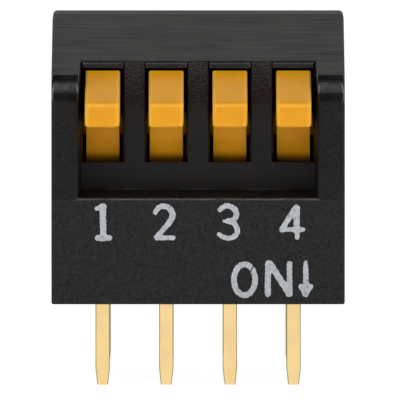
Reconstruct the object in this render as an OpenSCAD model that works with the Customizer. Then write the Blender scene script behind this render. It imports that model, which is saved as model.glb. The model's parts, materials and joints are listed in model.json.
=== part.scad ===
// Four-way lever DIP switch.
// X runs across the levers, the front is at -Y and +Z is up.
// The origin is on the seating plane, at the centre of the terminal grid.

/* [Grid] */
// Distance between neighbouring levers, and between neighbouring terminals
pitch = 2.54; // [2.5:0.01:2.8]
// Distance between the two rows of terminals
row_spacing = 7.62; // [7.4:0.01:8.2]

/* [Case] */
// Thickness of the case's side beside an outer window
side_w = 1.175; // [1.1:0.005:1.5]
// Distance from a row of terminals to the face of the case
row_edge = 1.14; // [1:0.01:1.5]
// Depth of the flat top behind the slope
top_d = 2.71; // [2.2:0.01:3.2]
// Thickness of the case's outer walls
wall = 0.65; // [0.5:0.05:0.75]
// Height of the edge between the upright part of the front and the bay's floor
ledge_h = 0.08; // [0.05:0.01:0.2]
// Angle by which the posts lean back from upright
post_lean = 3.4; // [2:0.1:6]
// Angle of the slope from level
slope_angle = 18.2; // [16:0.1:20]
// Radius of the shoulder between the posts and the slope
shoulder_r = 1.2; // [0.6:0.05:1.4]
// Radius of the case's upper side edges
case_edge_r = 0.2; // [0.1:0.05:0.3]

/* [Bay and windows] */
// Depth of the bay behind the front face
bay_depth = 2.45; // [2.2:0.05:2.7]
// Height of the bay's floor at its back
bay_floor_h = 4.43; // [4.3:0.01:4.6]
// Draft of the bay's floor
floor_draft = 4.4; // [2:0.1:5]
// Draft of the bay's sides
side_draft = 2.4; // [1:0.1:5]
// Thickness of the bay's floor at its front edge
bay_floor_t = 0.78; // [0.6:0.02:0.9]
// Thickness of the bay's back wall
bay_wall = 0.45; // [0.35:0.01:0.55]
// Width of a window at the bay's back wall
window_w = 1.73; // [1.6:0.01:1.8]
// Height of the windows' lower edge above the back of the bay's floor
window_sill = 1.09; // [0.9:0.01:1.4]
// Height of a window on the inside
window_h = 3.77; // [3.2:0.01:4.4]
// Height of the edge that is left above a window
window_brow = 0.1; // [0.05:0.01:0.15]
// Height of the step above a window
window_lip = 0.22; // [0.1:0.01:0.3]
// Depth of the step above a window
lip_depth = 0.12; // [0.08:0.01:0.2]
// Amount by which each side of a window closes in towards the inside
window_taper = 0.07; // [0.03:0.01:0.1]

/* [Levers] */
// Distance of the levers' pivot below the middle of the windows
pivot_drop = 0.505; // [0.4:0.005:0.6]
// Distance by which a drum's radius passes half of its window's height
drum_cover = 0.115; // [0.08:0.005:0.15]
// Distance from the pivot to the flat at the back of the drum
drum_back = 1.2; // [0.9:0.1:1.6]
// Distance from the pivot to the front of the key's nose
key_reach = 6.15; // [5.7:0.05:6.5]
// Distance by which the key's upper end stands out of its window
key_proud = 0.05; // [0:0.01:0.1]
// Height of the nose
nose_h = 0.96; // [0.8:0.02:1.1]
// Angle of the key's upper face from level
key_angle = 16.7; // [15:0.1:18]
// Radius of the nose's upper edge
nose_top_r = 0.33; // [0.15:0.01:0.4]
// Radius of the nose's lower edge
nose_bottom_r = 0.12; // [0.05:0.01:0.2]
// Radius of the key's upper end
key_end_r = 0.15; // [0.05:0.01:0.2]
// Radius of the trunnions that a lever turns on
trunnion_r = 0.45; // [0.35:0.01:0.5]
// Angle from the open to the closed position
swing = 24; // [18:1:26]

/* [Contacts] */
// Thickness of the contact spring
spring_t = 0.1; // [0.08:0.01:0.12]
// Height of the spring below the heel
spring_h = 0.92; // [0.85:0.01:1]
// Radius of the bends in the spring
spring_bend_r = 0.12; // [0.1:0.01:0.14]
// Radius of the foot that wipes the strips
foot_bend_r = 0.22; // [0.15:0.01:0.25]
// Width of the heel, across the case
heel_w = 0.9; // [0.8:0.02:1]
// Depth of the heel, from front to back
heel_d = 0.84; // [0.76:0.02:0.9]
// Radius of the stake that holds the spring on the heel
stake_r = 0.15; // [0.1:0.01:0.18]
// Height of the stake's head below the spring
stake_head = 0.06; // [0.04:0.01:0.1]

/* [Terminals] */
// Width of a terminal pin
pin_w = 0.58; // [0.5:0.01:0.64]
// Thickness of the terminal sheet
pin_t = 0.25; // [0.2:0.01:0.3]
// Length of the pins below the seating plane
pin_length = 3.3; // [2.8:0.1:3.8]
// Width of a pin at its tip
pin_tip_w = 0.43; // [0.3:0.01:0.48]
// Length of the taper at a pin's tip
pin_taper = 0.68; // [0.4:0.02:0.9]
// Radius of the corners of a pin's tip
pin_tip_r = 0.06; // [0.02:0.01:0.1]
// Width of a contact strip
strip_w = 0.45; // [0.4:0.01:0.5]
// Gap between the two strips of one way
strip_gap = 0.15; // [0.12:0.01:0.2]
// Inner radius of the bend between a pin and its strip
terminal_bend_r = 0.15; // [0.1:0.01:0.25]
// How far a strip runs past the middle of the foot
strip_margin = 0.25; // [0.15:0.05:0.35]

/* [Base] */
// Height of the base's underside above the seating plane
base_bottom = 0.2; // [0.1:0.05:0.4]
// Height of the snap lugs above the base's underside
lug_h = 1; // [0.6:0.1:1.4]
// Length of a snap lug along the side of the base
lug_length = 2.4; // [1.6:0.1:3]
// Distance by which a lug stands out
lug_reach = 0.15; // [0.1:0.01:0.2]
// Height of a lug
lug_rise = 0.5; // [0.4:0.05:0.7]

/* [Fits] */
// Gap between the base and the case
base_clearance = 0.03; // [0.02:0.01:0.05]
// Gap between a trunnion and its bearing
bearing_clearance = 0.03; // [0.02:0.01:0.05]
// Gap between the end of a trunnion and the middle of its rib
end_clearance = 0.06; // [0.04:0.01:0.1]
// Gap between a key and the edges of its window
key_clearance = 0.1; // [0.05:0.005:0.12]
// Gap between a drum and the bay's back wall
drum_clearance = 0.05; // [0.03:0.01:0.1]
// Gap between a drum and the rib on either side
rib_clearance = 0.2; // [0.1:0.02:0.24]
// Gap between the contact's foot and the strips at mid travel
foot_clearance = 0.03; // [0.02:0.01:0.05]
// Distance of a finger from the edges of its strip
finger_clearance = 0.025; // [0.01:0.005:0.05]

/* [Hidden] */

$fn = 64;
// Straight steps in each rounded corner of an outline
arc_steps = 12;
// Overrun of every cut past the surface that it opens
overrun = 0.3;
// Number of levers
ways = 4;

// Width of a bearing slot's neck, as a share of the bearing's diameter
neck_share = 0.94;
// Places of the spring's hairpin and toe, behind and before the foot, as shares of the heel's depth
hairpin_share = 0.74;
toe_share = 0.42;
// Rise of the fingers from the foot to the hairpin, as a share of the spring's height
finger_rise_share = 0.68;
// Height of the spring's clip, as a share of the heel's length below the drum
clip_share = 0.75;
// How far down a lug's upper edge slopes, as a share of its height
lug_slope_share = 0.6;

// Plan of the case
bay_w = (ways - 1) * pitch + window_w;
case_w = bay_w + 2 * side_w;
case_d = row_spacing + 2 * row_edge;
front_y = -case_d / 2;
back_y = case_d / 2;
bay_y = front_y + bay_depth;
wall_y = bay_y + bay_wall;
crest_y = back_y - top_d;

// Heights of the case, from the bay's floor up
front_h = bay_floor(front_y) - ledge_h;
window_bottom = bay_floor_h + window_sill;
window_top = window_bottom + window_h;
bay_edge_h = window_top + window_lip + window_brow;
case_h = slope_z(crest_y);

// Point where the lines of the posts and of the slope meet
lean = tan(post_lean);
rise = tan(slope_angle);
brow_h = (bay_edge_h - (bay_depth + front_h * lean) * rise) / (1 - lean * rise);
brow_y = slope_y(brow_h);

// Hollows of the case
cell_w = window_w;
rib_w = pitch - cell_w;
cell_back_y = back_y - wall;
roof_drop = wall / cos(slope_angle);
roof_top = case_h - wall;
pocket_w = case_w - 2 * wall;
pocket_d = case_d - 2 * wall;
pocket_top = bay_floor(front_y) - bay_floor_t;
base_top = pocket_top - base_clearance;

// Pivot and bearings
drum_r = window_h / 2 + drum_cover;
pivot_h = window_bottom + window_h / 2 - pivot_drop;
pivot_y = wall_y + drum_clearance + drum_r;
bearing_r = trunnion_r + bearing_clearance;
neck_w = 2 * bearing_r * neck_share;
trunnion_end = pitch / 2 - end_clearance;
bearing_end = ways * pitch / 2;

// Levers, measured from the pivot
drum_w = cell_w - 2 * rib_clearance;
key_w = window_w - 2 * window_taper - 2 * key_clearance;
key_back = pivot_y - bay_y + key_proud;
key_top = window_top - key_clearance - pivot_h;
nose_top = key_top - (key_reach - key_back) * tan(key_angle);
nose_bottom = nose_top - nose_h;

// Strips and contact springs, with heights measured from the pivot
lane_edge = strip_gap / 2 + strip_w;
spring_w = 2 * lane_edge - 2 * finger_clearance;
finger_gap = strip_gap + 2 * finger_clearance;
foot_reach = pivot_h - base_top - foot_clearance;
heel_reach = foot_reach - spring_h;
leaf_z = -heel_reach - spring_t / 2;
hairpin_y = heel_d * hairpin_share;
finger_angle = atan(spring_h * finger_rise_share / hairpin_y);
foot_z = -foot_reach + spring_t / 2 - foot_bend_r * (1 / cos(finger_angle) - 1);
foot_travel = foot_reach * sin(swing / 2);
strip_reach_front = pivot_y + foot_travel + strip_margin;
strip_reach_rear = pivot_y + foot_travel - 2 * strip_margin;

function unit(v) = v / norm(v);
function lever_x(way) = (way - (ways + 1) / 2) * pitch;
function slope_z(y) = bay_edge_h + (y - bay_y) * tan(slope_angle);
function slope_y(z) = bay_y + (z - bay_edge_h) / tan(slope_angle);
function window_half(y) = window_w / 2 - window_taper * (y - bay_y) / bay_wall;
function bay_half(y) = bay_w / 2 + (bay_y - y) * tan(side_draft);
function bay_floor(y) = bay_floor_h - (bay_y - y) * tan(floor_draft);

// Arc that rounds corner b of an outline, between its neighbours a and c
function corner(a, b, c, r) =
    r == 0 ? [b] :
    let (u = unit(a - b), v = unit(c - b))
    let (half = acos(u * v) / 2, side = cross(u, v) < 0 ? 1 : -1)
    let (centre = b + unit(u + v) * r / sin(half))
    let (start = b + u * r / tan(half) - centre)
    let (first = atan2(start[1], start[0]), step = side * (180 - 2 * half) / arc_steps)
    [for (i = [0 : arc_steps]) centre + r * [cos(first + step * i), sin(first + step * i)]];

// Outline through points [x, y, radius], with each corner rounded to its radius
function rounded(points) =
    let (n = len(points), flat = [for (p = points) [p[0], p[1]]])
    [for (i = [0 : n - 1]) each
        corner(flat[(i + n - 1) % n], flat[i], flat[(i + 1) % n], points[i][2])];

// Point beside corner i of a path, at distance d to its left, with the bend radius there
function beside(path, i, d) =
    let (last = len(path) - 1, p = [path[i][0], path[i][1]])
    let (back = i == 0 ? [0, 0] : unit(p - [path[i - 1][0], path[i - 1][1]]))
    let (ahead = i == last ? [0, 0] : unit([path[i + 1][0], path[i + 1][1]] - p))
    let (along = unit(back + ahead), left = [-along[1], along[0]])
    let (stretch = norm(back + ahead) / (i == 0 || i == last ? 1 : 2))
    let (turn = sign(cross(back, ahead)), at = p + left * d / stretch)
    [at[0], at[1], path[i][2] == 0 ? 0 : path[i][2] - turn * d];

// Outline of a sheet of thickness t bent along a path of points [x, y, radius]
function bent_sheet(path, t) =
    let (last = len(path) - 1)
    rounded(concat(
        [for (i = [0 : last]) beside(path, i, -t / 2)],
        [for (i = [last : -1 : 0]) beside(path, i, t / 2)]
    ));

// Extrudes an outline drawn in Y and Z along X, about the middle
module along_x(length) {
    rotate([90, 0, 90])
        linear_extrude(length, center = true)
            children();
}

// Extrudes an outline drawn in X and Z along Y, about the middle
module along_y(length) {
    rotate([90, 0, 0])
        linear_extrude(length, center = true)
            children();
}

// Round bar along X, about the middle
module bar_x(r, length) {
    rotate([0, 90, 0])
        cylinder(r = r, h = length, center = true);
}

// Puts a shape that is drawn about the pivot in its place in a way
module at_pivot(way) {
    translate([lever_x(way), pivot_y, pivot_h])
        children();
}

// Outside of the case: its side profile, with the upper edges of its sides rounded
module case_block() {
    intersection() {
        along_x(case_w)
            polygon(rounded([
                [front_y, 0, 0],
                [back_y, 0, 0],
                [back_y, case_h, case_edge_r],
                [crest_y, case_h, 0],
                [brow_y, brow_h, shoulder_r],
                [front_y, front_h, 0]
            ]));
        along_y(case_d + 2 * overrun)
            polygon(rounded([
                [-case_w / 2, -overrun, 0],
                [case_w / 2, -overrun, 0],
                [case_w / 2, case_h, case_edge_r],
                [-case_w / 2, case_h, case_edge_r]
            ]));
    }
}

// Space between the posts
module bay_cut() {
    out_y = front_y - overrun;
    intersection() {
        linear_extrude(case_h + overrun)
            polygon([
                [-bay_half(out_y), out_y],
                [bay_half(out_y), out_y],
                [bay_half(bay_y), bay_y],
                [-bay_half(bay_y), bay_y]
            ]);
        along_x(case_w)
            polygon([
                [out_y, bay_floor(out_y)],
                [bay_y, bay_floor_h],
                [bay_y, case_h + overrun],
                [out_y, case_h + overrun]
            ]);
    }
}

// Opening in the bay's back wall for one lever
module window_cut() {
    out_y = bay_y - overrun;
    in_y = wall_y + overrun;
    intersection() {
        linear_extrude(case_h)
            polygon([
                [-window_half(out_y), out_y],
                [window_half(out_y), out_y],
                [window_half(in_y), in_y],
                [-window_half(in_y), in_y]
            ]);
        along_x(pitch)
            polygon([
                [out_y, window_bottom],
                [in_y, window_bottom],
                [in_y, window_top],
                [bay_y + lip_depth, window_top],
                [bay_y + lip_depth, window_top + window_lip],
                [out_y, window_top + window_lip]
            ]);
    }
}

// Hollow behind one window, where the lever's drum turns
module cell_cut() {
    along_x(cell_w)
        polygon([
            [wall_y, base_top],
            [cell_back_y, base_top],
            [cell_back_y, roof_top],
            [slope_y(roof_top + roof_drop), roof_top],
            [slope_y(window_top + roof_drop), window_top],
            [wall_y, window_top]
        ]);
}

// Row of bearings, each with a neck below it that a trunnion snaps through
module bearing_cut() {
    translate([0, pivot_y, pivot_h])
        bar_x(bearing_r, 2 * bearing_end);
    translate([-bearing_end, pivot_y - neck_w / 2, base_top])
        cube([2 * bearing_end, neck_w, pivot_h - base_top]);
}

// Snap lug on the right side of the base, grown on all sides by a gap
module lug(gap) {
    root_x = pocket_w / 2 - base_clearance;
    low_z = base_bottom + lug_h - gap;
    high_z = low_z + lug_rise + 2 * gap;
    along_y(lug_length + 2 * gap)
        polygon([
            [root_x - overrun, low_z],
            [root_x, low_z],
            [root_x + lug_reach + gap, low_z],
            [root_x + lug_reach + gap, high_z - lug_rise * lug_slope_share],
            [root_x, high_z],
            [root_x - overrun, high_z]
        ]);
}

// The same on the right and on the left
module both_sides() {
    children();
    mirror([1, 0, 0])
        children();
}

module case() {
    color("#2f2f30")
        difference() {
            case_block();
            bay_cut();
            translate([-pocket_w / 2, -pocket_d / 2, -overrun])
                cube([pocket_w, pocket_d, pocket_top + overrun]);
            for (way = [1 : ways])
                translate([lever_x(way), 0, 0]) {
                    window_cut();
                    cell_cut();
                }
            bearing_cut();
            both_sides()
                lug(base_clearance);
        }
}

// Post of the base that closes a bearing from below
module bearing_post(x, width) {
    post_w = neck_w - 2 * base_clearance;
    translate([x - width / 2, pivot_y - post_w / 2, base_top])
        cube([width, post_w, pivot_h - bearing_r - base_top]);
}

// Block below the levers, with slots that the terminals are pressed into from above
module base() {
    inner_w = rib_w - 2 * base_clearance;
    outer_w = rib_w / 2 - 2 * base_clearance;
    outer_x = bearing_end - base_clearance - outer_w / 2;
    block_w = pocket_w - 2 * base_clearance;
    block_d = pocket_d - 2 * base_clearance;
    color("#262627")
        difference() {
            union() {
                translate([-block_w / 2, -block_d / 2, base_bottom])
                    cube([block_w, block_d, base_top - base_bottom]);
                for (gap = [1 : ways - 1])
                    bearing_post(lever_x(gap) + pitch / 2, inner_w);
                both_sides() {
                    bearing_post(outer_x, outer_w);
                    lug(0);
                }
            }
            for (way = [1 : ways], lift = [0, pin_t / 2])
                translate([0, 0, lift]) {
                    terminal_front(way);
                    terminal_rear(way);
                }
        }
}

// Lever in the open position: key, drum, trunnions, and the heel that carries the contact
module lever(way) {
    color("#e39b28")
        at_pivot(way) {
            along_x(key_w)
                polygon(rounded([
                    [-key_reach, nose_bottom, nose_bottom_r],
                    [0, nose_bottom, 0],
                    [0, drum_r, 0],
                    [-key_back, key_top, key_end_r],
                    [-key_reach, nose_top, nose_top_r]
                ]));
            difference() {
                bar_x(drum_r, drum_w);
                translate([-drum_w, drum_back, -drum_r])
                    cube([2 * drum_w, drum_r, 2 * drum_r]);
            }
            bar_x(trunnion_r, 2 * trunnion_end);
            rotate([-swing / 2, 0, 0]) {
                translate([-heel_w / 2, -heel_d / 2, -heel_reach])
                    cube([heel_w, heel_d, heel_reach]);
                translate([0, 0, -heel_reach - spring_t - stake_head])
                    cylinder(r = stake_r, h = heel_reach);
            }
        }
}

// Sprung contact: a clip on the heel, a hairpin behind it and two fingers with a foot each
module contact(way) {
    hairpin_z = foot_z + hairpin_y * tan(finger_angle);
    toe_y = -heel_d * toe_share;
    clip_y = -heel_d / 2 - spring_bend_r;
    color("#d9b56a")
        at_pivot(way)
            rotate([-swing / 2, 0, 0])
                difference() {
                    along_x(spring_w)
                        polygon(bent_sheet([
                            [clip_y, leaf_z + (heel_reach - drum_r) * clip_share, 0],
                            [clip_y, leaf_z, spring_bend_r],
                            [hairpin_y, leaf_z, spring_bend_r],
                            [hairpin_y, hairpin_z, spring_bend_r],
                            [0, foot_z, foot_bend_r],
                            [toe_y, foot_z - toe_y * tan(finger_angle), 0]
                        ], spring_t));
                    translate([-finger_gap / 2, -foot_reach / 2, -2 * foot_reach])
                        cube([finger_gap, foot_reach, 2 * foot_reach + hairpin_z]);
                    translate([0, 0, -heel_reach - spring_t - overrun / 2])
                        cylinder(r = stake_r + bearing_clearance, h = spring_t + overrun);
                }
}

// Terminal of the front row, about its own way: a pin bent over into a strip that
// runs back to the given place, left of the middle
module terminal(strip_end) {
    pin_y = -row_spacing / 2;
    jog_y = pin_y + pin_t / 2 + terminal_bend_r + pin_w;
    color("#e6c98a")
        intersection() {
            along_x(2 * lane_edge + pin_w)
                polygon(bent_sheet([
                    [pin_y, -pin_length, 0],
                    [pin_y, base_top - pin_t / 2, terminal_bend_r + pin_t / 2],
                    [strip_end, base_top - pin_t / 2, 0]
                ], pin_t));
            union() {
                translate([0, pin_y, 0])
                    along_y(2 * (jog_y - pin_y))
                        polygon(rounded([
                            [-pin_tip_w / 2, -pin_length, pin_tip_r],
                            [pin_tip_w / 2, -pin_length, pin_tip_r],
                            [pin_w / 2, -pin_length + pin_taper, 0],
                            [pin_w / 2, base_top + overrun, 0],
                            [-pin_w / 2, base_top + overrun, 0],
                            [-pin_w / 2, -pin_length + pin_taper, 0]
                        ]));
                linear_extrude(base_top + overrun)
                    polygon([
                        [-pin_w / 2, jog_y - pin_w],
                        [-pin_w / 2 + strip_w, jog_y - pin_w],
                        [-strip_gap / 2, jog_y],
                        [-strip_gap / 2, strip_end + overrun],
                        [-lane_edge, strip_end + overrun],
                        [-lane_edge, jog_y]
                    ]);
            }
        }
}

module terminal_front(way) {
    translate([lever_x(way), 0, 0])
        terminal(strip_reach_front);
}

module terminal_rear(way) {
    translate([lever_x(way), 0, 0])
        rotate([0, 0, 180])
            terminal(-strip_reach_rear);
}

case();
base();
lever(1);  // lever_1
lever(2);  // lever_2
lever(3);  // lever_3
lever(4);  // lever_4
contact(1);  // contact_1
contact(2);  // contact_2
contact(3);  // contact_3
contact(4);  // contact_4
terminal_front(1);  // terminal_front_1
terminal_front(2);  // terminal_front_2
terminal_front(3);  // terminal_front_3
terminal_front(4);  // terminal_front_4
terminal_rear(1);  // terminal_rear_1
terminal_rear(2);  // terminal_rear_2
terminal_rear(3);  // terminal_rear_3
terminal_rear(4);  // terminal_rear_4
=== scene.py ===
"""Looks of a four-way lever DIP switch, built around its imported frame.

Lengths of the switch are in millimetres, and become metres where an object is made.
Lengths of the studio around it, such as those of the lamps, are in metres.
"""

import json
import math

import bmesh
import bpy
import numpy as np
from mathutils import Matrix, Vector


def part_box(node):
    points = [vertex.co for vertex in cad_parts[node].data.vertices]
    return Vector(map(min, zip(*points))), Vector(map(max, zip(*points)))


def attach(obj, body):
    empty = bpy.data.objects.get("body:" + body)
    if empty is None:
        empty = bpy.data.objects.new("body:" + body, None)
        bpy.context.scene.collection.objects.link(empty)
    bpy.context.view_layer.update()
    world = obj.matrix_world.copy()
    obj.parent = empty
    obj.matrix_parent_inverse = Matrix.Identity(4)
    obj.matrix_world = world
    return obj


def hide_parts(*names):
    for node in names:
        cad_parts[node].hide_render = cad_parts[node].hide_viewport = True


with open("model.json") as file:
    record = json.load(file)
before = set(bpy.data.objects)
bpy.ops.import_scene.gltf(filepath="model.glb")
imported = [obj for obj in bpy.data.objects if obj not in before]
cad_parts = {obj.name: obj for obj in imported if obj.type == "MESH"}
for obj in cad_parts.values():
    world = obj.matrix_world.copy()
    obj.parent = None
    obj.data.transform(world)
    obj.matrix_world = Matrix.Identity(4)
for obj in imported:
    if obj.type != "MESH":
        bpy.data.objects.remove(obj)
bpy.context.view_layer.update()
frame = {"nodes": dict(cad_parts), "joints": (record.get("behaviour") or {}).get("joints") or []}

# Metres in a millimetre
MM = 0.001

# Sizes read from the frame
case_low, case_high = (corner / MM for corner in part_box("case"))
PIVOTS = {joint["child"]: Vector(joint["pos_m"]) / MM for joint in frame["joints"]}
WAYS = len(PIVOTS)
LEVER_X = [PIVOTS[f"rocker_{way + 1}"].x for way in range(WAYS)]
FRONT_Y = case_low.y
CASE_HALF = case_high.x
CASE_TOP = case_high.z
PIN_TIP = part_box("terminal_front_1")[0].z / MM

# Main places of the case and its levers that their boxes don't give
BAY_Y = -2.5
BAY_HALF = 4.675
BAY_FLOOR = 4.43
LEDGE_LOW = 4.14
SHOULDER_LOW = 8.10
SHOULDER_HIGH = 9.14
LIP_LOW = 9.29
LIP_HIGH = 9.51
WALL_Y = -2.05
NOSE_Y = -5.0

# Least share of a normal along x, by which a face counts as looking to the left or right
SIDEWAYS = 0.95
# Slots of a rounded copy, and the further slot of a lever
FACES, RIMS, DRUM = range(3)
# How far a surface's roughness varies
ROUGHNESS_SPREAD = 0.04

# Side of the grid that the legends are drawn on
GRID = 0.04
# Legends: strokes of points (x, z, half width) in grid steps.
# A number's strokes start from the middle of its lever and the foot of the numbers.
NUMBER_FOOT = 2.51
NUMBERS = [
    [
        [(-6, 33, 2.0), (0.5, 34.7, 3.2)],
        [(0.5, 34.5, 3.2), (0.6, 4.0, 3.0)],
        [(-5, 3.8, 2.7), (7, 3.8, 2.7)],
    ],
    [
        [(-10.8, 29.5, 2.5), (-7.5, 34, 2.6), (-2.3, 35.6, 2.7), (2.8, 33.7, 2.8), (6, 28.7, 3),
         (5.5, 23.7, 3), (2.5, 18.4, 2.8), (-3, 12.2, 2.5), (-9, 4.9, 2.5)],
        [(-9.2, 3.9, 2.4), (7, 3.9, 2.3)],
    ],
    [
        [(-10, 32, 2.4), (-5.5, 35.2, 2.5), (-1.3, 35.8, 2.6), (4.5, 32.7, 2.8), (6.3, 27.7, 2.8),
         (4.5, 22.7, 2.6), (-1, 20.7, 2.2), (-5.5, 20.6, 1.6)],
        [(-1, 20.7, 2.2), (4, 18.4, 2.5), (7.4, 12.0, 2.7), (5.4, 6.2, 2.6), (-0.7, 3.5, 2.4),
         (-6.8, 4.8, 2.2), (-11, 7.4, 2.0)],
    ],
    [
        [(2.8, 34, 3.2), (3, 19, 2.9), (3.5, 4.2, 2.2)],
        [(0, 31, 2.8), (-11.6, 12.6, 2.5)],
        [(-11.4, 12.2, 2.2), (9.3, 12.1, 2.0)],
    ],
]
# The word and the arrow start from the middle of the case and their own foot.
WORD_FOOT = 0.22
LETTER_O = {"middle": (46.2, 19.2), "halves": (10.5, 15.4), "half_width": 2.85}
LETTER_O_CRACK = [(56.4, 35.5, 0.55), (51.2, 25.5, 0.55)]
LETTER_N = [
    [(69.7, 35.0, 3.0), (69.5, 5.2, 3.0)],
    [(71.8, 35.2, 3.2), (90.3, 6.0, 3.2)],
    [(91.2, 35.2, 2.6), (91.0, 5.4, 2.8)],
]
ARROW = [
    [(107.2, 36.8, 1.7), (107.2, 31, 2.6), (107.4, 15.4, 2.9)],
    [(102.2, 12.4, 1.7), (107, 4.4, 2.1), (112.3, 12.4, 1.7)],
    [(102.2, 12.4, 1.7), (112.3, 12.4, 1.7)],
    [(107.2, 9.6, 4.2), (107, 5.2, 2.6)],
]


def link(obj):
    """Adds an object to the scene."""
    bpy.context.scene.collection.objects.link(obj)
    return obj


def grey(level):
    """Grey colour of the given level."""
    return (level, level, level)


class Nodes:
    """The emptied node tree of a material or a world, with help to fill it."""

    def __init__(self, owner):
        owner.use_nodes = True
        self.tree = owner.node_tree
        self.tree.nodes.clear()

    def add(self, kind, inputs=None, **settings):
        """Adds a node, with its settings, and sets or links its inputs."""
        node = self.tree.nodes.new(kind)
        for key, value in settings.items():
            setattr(node, key, value)
        for key, value in (inputs or {}).items():
            if isinstance(value, bpy.types.NodeSocket):
                self.tree.links.new(value, node.inputs[key])
            else:
                node.inputs[key].default_value = value
        return node

    def ramp(self, share, colours):
        """Turns a number into a colour, by a list of places and colours."""
        made = self.add("ShaderNodeValToRGB", {"Fac": share})
        stops = made.color_ramp.elements
        while len(stops) < len(colours):
            stops.new(1.0)
        for stop, (place, colour) in zip(stops, colours):
            stop.position = place
            stop.color = (*colour, 1)
        return made.outputs["Color"]


class Shader(Nodes):
    """A material with one Principled shader, which its nodes are linked to."""

    def __init__(self, name, **values):
        self.material = bpy.data.materials.new(name)
        super().__init__(self.material)
        self.principled = self.add("ShaderNodeBsdfPrincipled")
        self.place = self.add("ShaderNodeTexCoord").outputs["Object"]
        self.add("ShaderNodeOutputMaterial", {"Surface": self.principled.outputs["BSDF"]})
        for key, value in values.items():
            self.principled.inputs[key.replace("_", " ")].default_value = value

    def feed(self, key, socket):
        """Links a socket to an input of the Principled shader."""
        self.tree.links.new(socket, self.principled.inputs[key])

    def noise(self, size, detail=2.0, stretch=(1, 1, 1)):
        """Noise with grains of about the given size in millimetres, stretched along the axes."""
        scale = [1 / (size * MM * s) for s in stretch]
        spread = self.add("ShaderNodeMapping", {"Vector": self.place, "Scale": scale})
        made = self.add("ShaderNodeTexNoise", {
            "Vector": spread.outputs["Vector"], "Scale": 1.0, "Detail": detail})
        return made.outputs["Fac"]

    def between(self, share, low, high, from_low=0.35, from_high=0.65):
        """Turns a value, by default one of noise, into a number between two limits."""
        made = self.add("ShaderNodeMapRange", {
            "Value": share, "From Min": from_low, "From Max": from_high,
            "To Min": low, "To Max": high})
        return made.outputs["Result"]

    def around(self, share, middle, spread):
        """Turns a value of noise into a number that varies about a middle one."""
        return self.between(share, middle - spread, middle + spread)

    def bump(self, height, depth, strength=1.0):
        """Raises the surface by a height value times a depth in millimetres."""
        made = self.add("ShaderNodeBump", {
            "Height": height, "Distance": depth * MM, "Strength": strength})
        return made.outputs["Normal"]


def black_base(shader):
    """Gives a shader the black of the plastic, which differs a little in patches, and returns them."""
    patches = shader.noise(1.6, detail=4)
    shader.feed("Base Color", shader.ramp(patches, [(0.3, grey(0.0034)), (0.7, grey(0.0062))]))
    return patches


def moulded_black(name, roughness, grain, depth, specular=0.5):
    """Black moulded plastic with a fine grain and patches of slightly different gloss."""
    shader = Shader(name)
    patches = black_base(shader)
    fine = shader.noise(grain, detail=3)
    shader.feed("Specular IOR Level", shader.around(fine, specular, specular / 4))
    shader.feed("Roughness", shader.around(patches, roughness, ROUGHNESS_SPREAD))
    shader.feed("Normal", shader.bump(fine, depth))
    return shader.material


def bay_black():
    """Black plastic of the bay's wall: a strong grain between the windows and a faint one below."""
    wall_low, wall_high = 4.4, 9.6
    strong_from, strong_full = 7.3, 8.1
    # Gloss by the height, as a share of the wall's
    levels = [(0.1, 0.60), (0.33, 0.40), (0.56, 0.40), (0.75, 0.56)]
    shader = Shader("case_bay")
    black_base(shader)
    height = shader.add("ShaderNodeSeparateXYZ", {"Vector": shader.place}).outputs["Z"]
    strong = shader.between(height, 0, 1, strong_from * MM, strong_full * MM)
    share = shader.between(height, 0, 1, wall_low * MM, wall_high * MM)
    fine = shader.noise(0.065, detail=2)
    gloss = shader.ramp(share, [(place, grey(level)) for place, level in levels])
    shader.feed("Specular IOR Level", gloss)
    shader.feed("Roughness", shader.between(strong, 0.62, 0.36, 0, 1))
    shader.feed("Normal", shader.bump(fine, 0.13, shader.between(strong, 0.13, 1, 0, 1)))
    return shader.material


def painted_highlight_black(name):
    """Black plastic of an edge, painted pale in places as a painted highlight along the edge."""
    shader = Shader(name, Specular_IOR_Level=0.5)
    patches = shader.noise(0.35, detail=4, stretch=(2, 1, 1))
    # Pale patches are painted highlight for the light line that a rounded edge catches
    shader.feed("Base Color", shader.ramp(patches, [
        (0.35, grey(0.012)), (0.65, (0.075, 0.075, 0.073))]))
    shader.feed("Roughness", shader.between(patches, 0.38, 0.5))
    return shader.material


def brushed_black_painted_light(name, pale):
    """Black plastic of the slope and the top, with fine lines across it, and a pale colour that is
    painted light on these upward faces.
    """
    dark = tuple(0.2 * part for part in pale)
    shader = Shader(name, Specular_IOR_Level=0.45)
    lines = shader.noise(0.055, detail=2, stretch=(40, 1, 1))
    patches = shader.noise(2.2, detail=3)
    shader.feed("Base Color", shader.ramp(lines, [(0.38, dark), (0.62, pale)]))
    shader.feed("Roughness", shader.around(patches, 0.5, ROUGHNESS_SPREAD))
    shader.feed("Normal", shader.bump(lines, 0.004))
    return shader.material


def lever_orange(name, dark, pale, specular=0.3):
    """Orange moulded plastic with a soft gloss and faint lines from the mould."""
    shader = Shader(
        name, Specular_IOR_Level=specular, Subsurface_Weight=0.4,
        Subsurface_Radius=(1.0, 0.6, 0.1), Subsurface_Scale=0.5 * MM)
    patches = shader.noise(0.9, detail=4)
    lines = shader.noise(0.07, detail=2, stretch=(14, 1, 1))
    shader.feed("Base Color", shader.ramp(patches, [(0.3, dark), (0.7, pale)]))
    shader.feed("Roughness", shader.around(patches, 0.38, ROUGHNESS_SPREAD))
    shader.feed("Normal", shader.bump(lines, 0.0035))
    return shader.material


def plated_gold(name, colour, roughness):
    """Pale gold plating with fine rolling lines along the pins."""
    darker = tuple(0.93 * part for part in colour)
    shader = Shader(name, Metallic=1.0)
    lines = shader.noise(0.03, detail=2, stretch=(1, 1, 40))
    patches = shader.noise(0.6, detail=3)
    shader.feed("Base Color", shader.ramp(patches, [(0.3, darker), (0.7, colour)]))
    shader.feed("Roughness", shader.around(patches, roughness, ROUGHNESS_SPREAD))
    shader.feed("Normal", shader.bump(lines, 0.002))
    return shader.material


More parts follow.
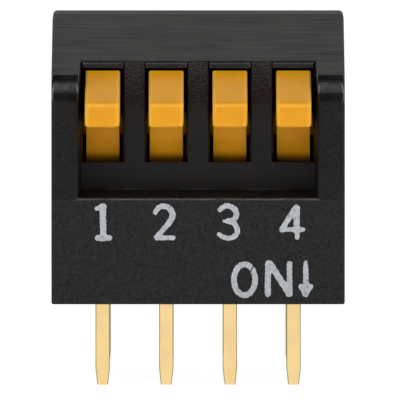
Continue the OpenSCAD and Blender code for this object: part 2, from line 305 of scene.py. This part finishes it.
def printed_ink():
    """Pale grey ink with small uneven spots, some of them worn dark."""
    worn, thin, full = (0.16, 0.17, 0.18), (0.455, 0.484, 0.519), (0.60, 0.634, 0.672)
    shader = Shader("printed_ink", Specular_IOR_Level=0.3)
    spots = shader.noise(0.12, detail=4)
    shader.feed("Base Color", shader.ramp(spots, [(0.27, worn), (0.34, thin), (0.6, full)]))
    shader.feed("Roughness", shader.between(spots, 0.5, 0.7))
    shader.feed("Normal", shader.bump(spots, 0.004))
    return shader.material


def rounded_copy(node, radius_at, segments=3, split=False):
    """Copy of a node's solid whose sharp outer edges are rounded.

    radius_at gives an edge's radius by the place of its middle.
    split cuts faces with many sides into triangles first, which faces with holes need;
    the ones that look to the left or right have none and stay whole.
    The work is done in millimetres, because rounding fails on very small meshes.
    """
    weld = 0.0005
    flat = math.radians(0.3)
    sharp = math.radians(20)
    few_sides = 4
    mesh = bpy.data.meshes.new(node + "_rounded")
    bm = bmesh.new()
    bm.from_mesh(frame["nodes"][node].data)
    bmesh.ops.scale(bm, vec=(1 / MM,) * 3, verts=bm.verts)
    bmesh.ops.remove_doubles(bm, verts=bm.verts, dist=weld)
    bmesh.ops.dissolve_limit(bm, angle_limit=flat, verts=bm.verts, edges=bm.edges)
    if split:
        many_sided = [face for face in bm.faces
                      if len(face.verts) > few_sides and abs(face.normal.x) < SIDEWAYS]
        bmesh.ops.triangulate(bm, faces=many_sided)
    weight = bm.edges.layers.float.new("bevel_weight_edge")
    radii = []
    for edge in bm.edges:
        if len(edge.link_faces) != 2 or edge.calc_face_angle_signed() < sharp:
            continue
        start, end = (vert.co for vert in edge.verts)
        radii.append((edge, radius_at((start + end) / 2)))
    largest = max(radius for edge, radius in radii)
    for edge, radius in radii:
        edge[weight] = radius / largest
    bm.to_mesh(mesh)
    bm.free()
    mesh.materials.clear()
    for slot in (FACES, RIMS):
        mesh.materials.append(None)
    draft = link(bpy.data.objects.new(node + "_draft", mesh))
    bevel = draft.modifiers.new("round", "BEVEL")
    bevel.limit_method = "WEIGHT"
    bevel.width = largest
    bevel.segments = segments
    bevel.use_clamp_overlap = False
    bevel.harden_normals = True
    bevel.material = RIMS
    graph = bpy.context.evaluated_depsgraph_get()
    made = bpy.data.meshes.new_from_object(draft.evaluated_get(graph))
    bpy.data.objects.remove(draft)
    made.transform(Matrix.Scale(MM, 4))
    return made


def stand_in(node, body, mesh):
    """Shows a mesh in place of a node, riding on the node's body."""
    piece = link(bpy.data.objects.new(node + "_shown", mesh))
    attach(piece, body)
    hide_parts(node)


def finish_node(node, made):
    """Gives a node that stays as it is its material."""
    slots = frame["nodes"][node].data.materials
    slots.clear()
    slots.append(made)


def case_radius(middle):
    """Radius of an edge of the case, by its place."""
    side, slope_side, front, foot, bay, window = 0.12, 0.05, 0.07, 0.08, 0.08, 0.03
    near = 0.02
    # Edges stay sharp where they come nearer than this to the bay's wall without lying in it,
    # and where they are further than this below its floor
    wall_gap, floor_gap = 0.35, 0.4
    on_side = abs(middle.x) > CASE_HALF - near
    outside = on_side or abs(middle.y) > -FRONT_Y - near
    if outside and middle.z < near:
        return foot
    if on_side:
        return side if middle.z < SHOULDER_HIGH else slope_side
    if outside:
        return front
    if middle.y > WALL_Y - near or middle.z < BAY_FLOOR - floor_gap:
        return 0
    if abs(middle.y - BAY_Y) < near:
        return window
    return bay if middle.y < BAY_Y - wall_gap else 0


def case_part(face, rim):
    """Name of the finish of a face of the case, by its place and tilt; rim for a rounded edge."""
    near, band = 0.02, 0.1
    # Degrees that a face has to look up by
    level, crest, sloped, drafted, tipped = 80, 68, 20, 5, 2
    middle = face.center / MM
    tilt = math.degrees(math.asin(max(-1, min(1, face.normal.z))))
    if abs(face.normal.x) > SIDEWAYS:
        return "matte"
    if tilt > level and middle.z > CASE_TOP - 2 * band:
        return "top"
    if tilt > crest and middle.z > SHOULDER_HIGH - near:
        return "slope"
    if tilt > sloped and middle.z > SHOULDER_HIGH + band:
        return "slope"
    on_post = middle.y < BAY_Y and abs(middle.x) > BAY_HALF
    if on_post and SHOULDER_LOW < middle.z < SHOULDER_HIGH:
        return "glint" if rim else "polished"
    # The rounded front edge of the bay's floor takes the worn finish, a painted highlight line
    if middle.y < FRONT_Y + band and LEDGE_LOW < middle.z < BAY_FLOOR and tilt > tipped:
        return "worn"
    if middle.y < BAY_Y and tilt > drafted and middle.z < BAY_FLOOR + band / 2:
        return "polished"
    if abs(middle.y - BAY_Y) < band / 2 and middle.z > LIP_LOW:
        return "polished"
    if abs(middle.y - BAY_Y) < near:
        return "bay"
    return "front" if middle.y < FRONT_Y + near / 2 and middle.z < LEDGE_LOW else "matte"


def make_case():
    finishes = {
        "matte": moulded_black("case_matte", 0.62, grain=0.10, depth=0.022, specular=0.29),
        # Painted light: the slope is the case's black plastic, coloured paler where it faces up
        "slope": brushed_black_painted_light("case_slope", pale=(0.052, 0.0507, 0.0462)),
        "polished": moulded_black("case_polished", 0.29, grain=0.30, depth=0.008, specular=0.34),
        "bay": bay_black(),
        "front": moulded_black("case_front", 0.62, grain=0.10, depth=0.022, specular=0.38),
        # Painted highlight: pale patches along the ledge's rounded edge
        "worn": painted_highlight_black("case_painted_highlight"),
        # Painted light: the top is coloured paler than the front's black
        "top": brushed_black_painted_light("case_top", pale=(0.032, 0.0312, 0.0286)),
        "glint": moulded_black("case_glint", 0.2, grain=0.10, depth=0.002, specular=0.9),
    }
    mesh = rounded_copy("case", case_radius, split=True)
    rims = [face.material_index == RIMS for face in mesh.polygons]
    mesh.materials.clear()
    for made in finishes.values():
        mesh.materials.append(made)
    names = list(finishes)
    for face, rim in zip(mesh.polygons, rims):
        face.material_index = names.index(case_part(face, rim))
    stand_in("case", "housing", mesh)


def make_lips():
    """Slightly raised lip over each window, with bevels that catch the light, and side and lower
    bevels painted pale as a painted highlight.
    """
    half = 0.825
    taper = 0.03
    depth = 0.12
    proud = 0.06
    bevel_depth = 0.035
    top_bevel, low_bevel, side_bevel = 0.06, 0.03, 0.04
    tilted = 0.3
    front = BAY_Y - proud
    black = moulded_black("lip_black", 0.36, grain=0.10, depth=0.004, specular=0.36)
    # Pale material for the side and lower bevels: painted highlight
    highlight_paint = painted_highlight_black("lip_painted_highlight")
    # Rings of four corners from back to front, with the share of the bevels that each lies inside
    rings = [(BAY_Y + depth, 0), (front + bevel_depth, 0), (front, 1)]
    back_ring, bevel_ring, front_ring = (range(first, first + 4) for first in (0, 4, 8))
    faces = [tuple(reversed(back_ring)), tuple(front_ring)]
    for far, near in ((back_ring, bevel_ring), (bevel_ring, front_ring)):
        for i in range(4):
            faces.append((far[i - 1], far[i], near[i], near[i - 1]))
    for way, middle in enumerate(LEVER_X):
        corners = []
        for y, share in rings:
            low = LIP_LOW + share * low_bevel
            high = LIP_HIGH - share * top_bevel
            for side, z in ((-1, low), (1, low), (1, high), (-1, high)):
                reach = half - taper * (LIP_HIGH - z) / (LIP_HIGH - LIP_LOW) - share * side_bevel
                corners.append(((middle + side * reach) * MM, y * MM, z * MM))
        mesh = bpy.data.meshes.new(f"lip_{way + 1}")
        mesh.from_pydata(corners, [], faces)
        mesh.materials.append(black)
        mesh.materials.append(highlight_paint)
        # Bevels that face forward and to the side or down take the painted highlight
        for face in mesh.polygons:
            x, y, z = face.normal
            face.material_index = int(y < -tilted and (abs(x) > tilted or z < -tilted))
        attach(link(bpy.data.objects.new(f"lip_{way + 1}", mesh)), "housing")


def make_bay_edge():
    """Small bevel between the bay's floor and its back wall, which catches the light."""
    rise, run, sunk = 0.06, 0.05, 0.02
    reach = BAY_HALF + sunk
    outline = [
        (BAY_Y + sunk, BAY_FLOOR - sunk), (BAY_Y - run, BAY_FLOOR - sunk),
        (BAY_Y + sunk, BAY_FLOOR + rise)]
    corners = [(x * MM, y * MM, z * MM) for x in (-reach, reach) for y, z in outline]
    faces = [(0, 1, 2), (5, 4, 3), (0, 3, 4, 1), (1, 4, 5, 2), (2, 5, 3, 0)]
    mesh = bpy.data.meshes.new("bay_edge")
    mesh.from_pydata(corners, [], faces)
    mesh.materials.append(moulded_black("bay_edge", 0.36, grain=0.10, depth=0.01, specular=0.36))
    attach(link(bpy.data.objects.new("bay_edge", mesh)), "housing")


def make_base():
    finish_node("base", moulded_black("base_matte", 0.5, grain=0.12, depth=0.004))


def lever_radius(middle):
    """Radius of an edge of a lever: its key is rounded most."""
    key, key_root, drum = 0.15, 0.08, 0.03
    root_length = 0.3
    if middle.y < BAY_Y - root_length:
        return key
    if middle.y < WALL_Y:
        return key_root
    return drum if middle.y < 0 and middle.z > BAY_FLOOR else 0


def lever_part(face):
    """Slot of a face of a lever: the drum, painted paler as painted light; a rim, which the nose's top
    is too, painted paler as a painted highlight; or a plain face.
    """
    drum_reach, drum_top = 0.3, 7.6
    straight, lowest, highest = 0.1, 0.2, 0.6
    middle = face.center / MM
    if middle.y > WALL_Y - drum_reach and middle.z < drum_top:
        return DRUM
    normal = face.normal
    nose_top = middle.y < NOSE_Y and abs(normal.x) < straight and lowest < normal.z < highest
    return RIMS if nose_top else face.material_index


def make_levers():
    finishes = [
        lever_orange("lever_orange", dark=(0.85, 0.368, 0.006), pale=(0.91, 0.408, 0.008)),
        # Painted highlight: rounded edges and the nose's top get a paler, yellower orange
        lever_orange("lever_rim_painted_highlight", dark=(0.91, 0.435, 0.026), pale=(0.955, 0.475, 0.038)),
        # Painted light: the drum is the key's orange, coloured paler to stand in for light it lacks
        lever_orange("lever_drum_painted_light", (0.92, 0.405, 0.012), (0.97, 0.442, 0.015), specular=0.15),
    ]
    for way in range(1, WAYS + 1):
        node = f"lever_{way}"
        mesh = rounded_copy(node, lever_radius, segments=5)
        parts = [lever_part(face) for face in mesh.polygons]
        mesh.materials.clear()
        for made in finishes:
            mesh.materials.append(made)
        for face, part in zip(mesh.polygons, parts):
            face.material_index = part
        stand_in(node, f"rocker_{way}", mesh)


def make_metal():
    """Finishes the terminals, whose cut sides are rougher than their faces and painted darker as
    painted shade, and the contacts.
    """
    radius = 0.04
    sideways = 0.3
    pins = plated_gold("terminal_gold", (0.96, 0.700, 0.325), roughness=0.2)
    # Rougher cut sides, whose darker colour is painted shade for the darker reflections along the
    # pins' edges
    dark_sides_painted_shade = plated_gold("terminal_edge_painted_shade", (0.48, 0.36, 0.175), roughness=0.42)
    springs = plated_gold("contact_gold", (0.80, 0.56, 0.22), roughness=0.3)
    for way in range(1, WAYS + 1):
        for node in (f"terminal_front_{way}", f"terminal_rear_{way}"):
            mesh = rounded_copy(node, lambda middle: radius, segments=2)
            mesh.materials[FACES] = pins
            mesh.materials[RIMS] = dark_sides_painted_shade
            for face in mesh.polygons:
                face.material_index = RIMS if abs(face.normal.x) > sideways else FACES
            stand_in(node, "housing", mesh)
        finish_node(f"contact_{way}", springs)


def smooth_path(points, steps=8):
    """Points along a smooth curve through the given ones."""
    knots = [points[0], *points, points[-1]]
    path = []
    for a, b, c, d in zip(knots, knots[1:], knots[2:], knots[3:]):
        a, b, c, d = (np.array(point, float) for point in (a, b, c, d))
        for t in np.arange(steps) / steps:
            path.append(b + 0.5 * t * (c - a + t * (2 * a - 5 * b + 4 * c - d
                        + t * (3 * (b - c) + d - a))))
    return path + [np.array(points[-1], float)]


def ring_path(middle, halves, half_width, steps=48):
    """Points of a closed oval stroke."""
    turns = [2 * math.pi * step / steps for step in range(steps + 1)]
    return [np.array((middle[0] + halves[0] * math.cos(turn),
                      middle[1] + halves[1] * math.sin(turn), half_width)) for turn in turns]


def stroke_distance(x, z, path):
    """Distance of grid points to the edge of a stroke, below zero inside it."""
    least = 1e-9
    nearest = np.full(x.shape, np.inf)
    for a, b in zip(path, path[1:]):
        run = b[:2] - a[:2]
        along = ((x - a[0]) * run[0] + (z - a[1]) * run[1]) / max(run @ run, least)
        along = np.clip(along, 0, 1)
        off = np.hypot(x - a[0] - along * run[0], z - a[1] - along * run[1])
        nearest = np.minimum(nearest, off - a[2] - along * (b[2] - a[2]))
    return nearest


def run_together(fields, spread=2.5):
    """Joins the distances of several strokes, with the ink filling the corners between them."""
    joined = fields[0]
    for field in fields[1:]:
        share = np.clip(0.5 + (field - joined) / (2 * spread), 0, 1)
        joined = field + share * (joined - field) - spread * share * (1 - share)
    return joined


def ragged(x, z):
    """Low waves that make the edge of a print uneven."""
    height = 0.3
    return height * (np.sin(1.1 * x + 0.6 * z) * np.sin(0.8 * z - 0.5 * x))


def outline_edges(field, xs, zs):
    """Line pieces where a field on a grid crosses zero, as pairs of points."""
    def crossing(a, b):
        share = field[a] / (field[a] - field[b])
        return (xs[a[0]] + share * (xs[b[0]] - xs[a[0]]), zs[a[1]] + share * (zs[b[1]] - zs[a[1]]))

    for i in range(len(xs) - 1):
        for j in range(len(zs) - 1):
            ring = [(i, j), (i + 1, j), (i + 1, j + 1), (i, j + 1)]
            cuts = [crossing(min(a, b), max(a, b)) for a, b in zip(ring, ring[1:] + ring[:1])
                    if (field[a] < 0) != (field[b] < 0)]
            for start, end in zip(cuts[::2], cuts[1::2]):
                yield start, end


def make_legend(name, paths, x, z, ink, crack=None):
    """Printed sign on the front face, filled from its strokes, a little proud of the face.

    crack is a thin stroke in which the ink is missing.
    """
    proud = 0.014
    sunk = 0.01
    step = 0.5
    weld = 1e-5
    points = np.array([point for path in paths for point in path])
    margin = points[:, 2].max() + 2 * step
    xs = np.arange(points[:, 0].min() - margin, points[:, 0].max() + margin, step)
    zs = np.arange(points[:, 1].min() - margin, points[:, 1].max() + margin, step)
    grid_x, grid_z = np.meshgrid(xs, zs, indexing="ij")
    field = run_together([stroke_distance(grid_x, grid_z, path) for path in paths])
    field = field + ragged(grid_x, grid_z)
    if crack:
        field = np.maximum(field, -stroke_distance(grid_x, grid_z, crack))
    bm = bmesh.new()
    for start, end in outline_edges(field, xs, zs):
        ends = [bm.verts.new((x + GRID * p[0], FRONT_Y - proud, z + GRID * p[1]))
                for p in (start, end)]
        bm.edges.new(ends)
    bmesh.ops.remove_doubles(bm, verts=bm.verts, dist=weld)
    bmesh.ops.triangle_fill(bm, edges=bm.edges, use_beauty=True, normal=(0, -1, 0))
    body = bmesh.ops.extrude_face_region(bm, geom=bm.faces)["geom"]
    back = [part for part in body if isinstance(part, bmesh.types.BMVert)]
    bmesh.ops.translate(bm, vec=(0, proud + sunk, 0), verts=back)
    bmesh.ops.recalc_face_normals(bm, faces=bm.faces)
    bmesh.ops.scale(bm, vec=(MM,) * 3, verts=bm.verts)
    mesh = bpy.data.meshes.new(name)
    bm.to_mesh(mesh)
    bm.free()
    mesh.materials.append(ink)
    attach(link(bpy.data.objects.new(name, mesh)), "housing")


def make_legends():
    ink = printed_ink()
    for way, strokes in enumerate(NUMBERS):
        paths = [smooth_path(stroke) for stroke in strokes]
        make_legend(f"number_{way + 1}", paths, LEVER_X[way], NUMBER_FOOT, ink)
    crack = [np.array(point) for point in LETTER_O_CRACK]
    make_legend("letter_o", [ring_path(**LETTER_O)], 0, WORD_FOOT, ink, crack)
    make_legend("letter_n", [smooth_path(stroke) for stroke in LETTER_N], 0, WORD_FOOT, ink)
    make_legend("arrow", [[np.array(p) for p in stroke] for stroke in ARROW], 0, WORD_FOOT, ink)


def floor_material():
    """White floor that keeps the object's shadow and shows white in reflections."""
    material = bpy.data.materials.new("floor_white")
    nodes = Nodes(material)
    rays = nodes.add("ShaderNodeLightPath").outputs
    plain = nodes.add("ShaderNodeBsdfDiffuse", {"Color": (*grey(0.9), 1)})
    shaded = nodes.add("ShaderNodeBsdfDiffuse", {"Color": (*grey(0.3), 1)})
    glow = nodes.add("ShaderNodeEmission", {"Strength": 0.93})
    seen = nodes.add("ShaderNodeAddShader", {0: shaded.outputs[0], 1: glow.outputs[0]})
    any_ray = rays["Is Camera Ray"]
    for other in ("Is Glossy Ray", "Is Transmission Ray"):
        either = nodes.add("ShaderNodeMath", {0: any_ray, 1: rays[other]}, operation="MAXIMUM")
        any_ray = either.outputs[0]
    mix = nodes.add("ShaderNodeMixShader", {
        "Fac": any_ray, 1: plain.outputs[0], 2: seen.outputs[0]})
    nodes.add("ShaderNodeOutputMaterial", {"Surface": mix.outputs[0]})
    return material


def make_floor():
    half = 4.0
    mesh = bpy.data.meshes.new("floor")
    corners = [(-half, -half), (half, -half), (half, half), (-half, half)]
    mesh.from_pydata([(x, y, PIN_TIP * MM) for x, y in corners], [], [(0, 1, 2, 3)])
    mesh.materials.append(floor_material())
    floor = link(bpy.data.objects.new("floor", mesh))


def make_world():
    """Dim room around the object, with a paler wall behind it, which the camera sees as white."""
    # Brightness along the way from the front over the top to the back, as shares of half a turn
    levels = [(0.0, 0.35), (0.03, 0.14), (0.06, 0.06), (0.45, 0.03), (0.745, 0.03),
              (0.775, 0.62), (0.85, 0.64), (0.93, 0.24), (1.0, 0.07)]
    world = bpy.data.worlds.new("room")
    bpy.context.scene.world = world
    nodes = Nodes(world)
    place = nodes.add("ShaderNodeTexCoord").outputs["Generated"]
    parts = nodes.add("ShaderNodeSeparateXYZ", {"Vector": place}).outputs
    forward = nodes.add("ShaderNodeMath", {0: parts["Y"], 1: -1}, operation="MULTIPLY")
    angle = nodes.add("ShaderNodeMath", {
        0: parts["Z"], 1: forward.outputs[0]}, operation="ARCTAN2")
    share = nodes.add("ShaderNodeMath", {0: angle.outputs[0], 1: math.pi}, operation="DIVIDE")
    colour = nodes.ramp(share.outputs[0], [(spot, grey(level)) for spot, level in levels])
    room = nodes.add("ShaderNodeBackground", {"Color": colour})
    seen = nodes.add("ShaderNodeBackground", {"Color": (1, 1, 1, 1)})
    rays = nodes.add("ShaderNodeLightPath").outputs
    mix = nodes.add("ShaderNodeMixShader", {
        "Fac": rays["Is Camera Ray"], 1: room.outputs[0], 2: seen.outputs[0]})
    nodes.add("ShaderNodeOutputWorld", {"Surface": mix.outputs[0]})


def area_lamp(name, width, height, level):
    """Flat lamp; level is how bright its face is, next to white."""
    data = bpy.data.lights.new(name, "AREA")
    data.shape = "RECTANGLE"
    data.size = width
    data.size_y = height
    data.energy = level * math.pi * width * height
    return link(bpy.data.objects.new(name, data))


def make_softbox(name, azimuth, elevation, width, height, level):
    """Softbox that looks at the object, at angles in degrees from the front and from the floor."""
    aim_height = 0.005
    distance = 0.5
    aim = Vector((0, 0, aim_height))
    turn, tilt = math.radians(azimuth), math.radians(elevation)
    level_part = math.cos(tilt)
    away = Vector((math.sin(turn) * level_part, -math.cos(turn) * level_part, math.sin(tilt)))
    lamp = area_lamp(name, width, height, level)
    lamp.location = aim + distance * away
    lamp.rotation_euler = (-away).to_track_quat("-Z", "Y").to_euler()


def make_fill():
    """Panel that lies on the floor in front of the object and lights it softly from below."""
    width, depth = 0.03, 0.18
    gap = 0.02
    above_floor = 0.0002
    lamp = area_lamp("fill", width, depth, level=1.9)
    lamp.location = (0, -gap - depth / 2, PIN_TIP * MM + above_floor)
    lamp.rotation_euler = (math.pi, 0, 0)
    lamp.visible_glossy = False


def make_lights():
    make_softbox("softbox_top", azimuth=0, elevation=61, width=0.9, height=0.32, level=2.15)
    for side, turn in (("left", -1), ("right", 1)):
        make_softbox(
            "softbox_" + side, azimuth=42 * turn, elevation=9, width=0.3, height=0.3, level=0.25)
        make_softbox(
            "strip_" + side, azimuth=88 * turn, elevation=17, width=0.3, height=0.2, level=3.0)
    make_fill()


def make_camera():
    """Long lens in front of the switch, a little above it."""
    elevation = math.radians(4)
    distance = 0.75
    sensor = 36
    frame_px = 400
    px_per_mm = 25.1
    # Place on the front face that the middle of the picture shows
    aim_x, aim_z = 0.076, 4.176
    aim = Vector((aim_x, FRONT_Y, aim_z)) * MM
    data = bpy.data.cameras.new("camera")
    data.sensor_width = sensor
    data.lens = px_per_mm * sensor * distance / MM / frame_px
    camera = link(bpy.data.objects.new("camera", data))
    camera.location = aim + distance * Vector((0, -math.cos(elevation), math.sin(elevation)))
    camera.rotation_euler = (aim - camera.location).to_track_quat("-Z", "Y").to_euler()
    bpy.context.scene.camera = camera


make_case()
make_lips()
make_bay_edge()
make_base()
make_levers()
make_metal()
make_legends()
make_floor()
make_world()
make_lights()
make_camera()
bpy.context.scene.view_settings.view_transform = "Standard"
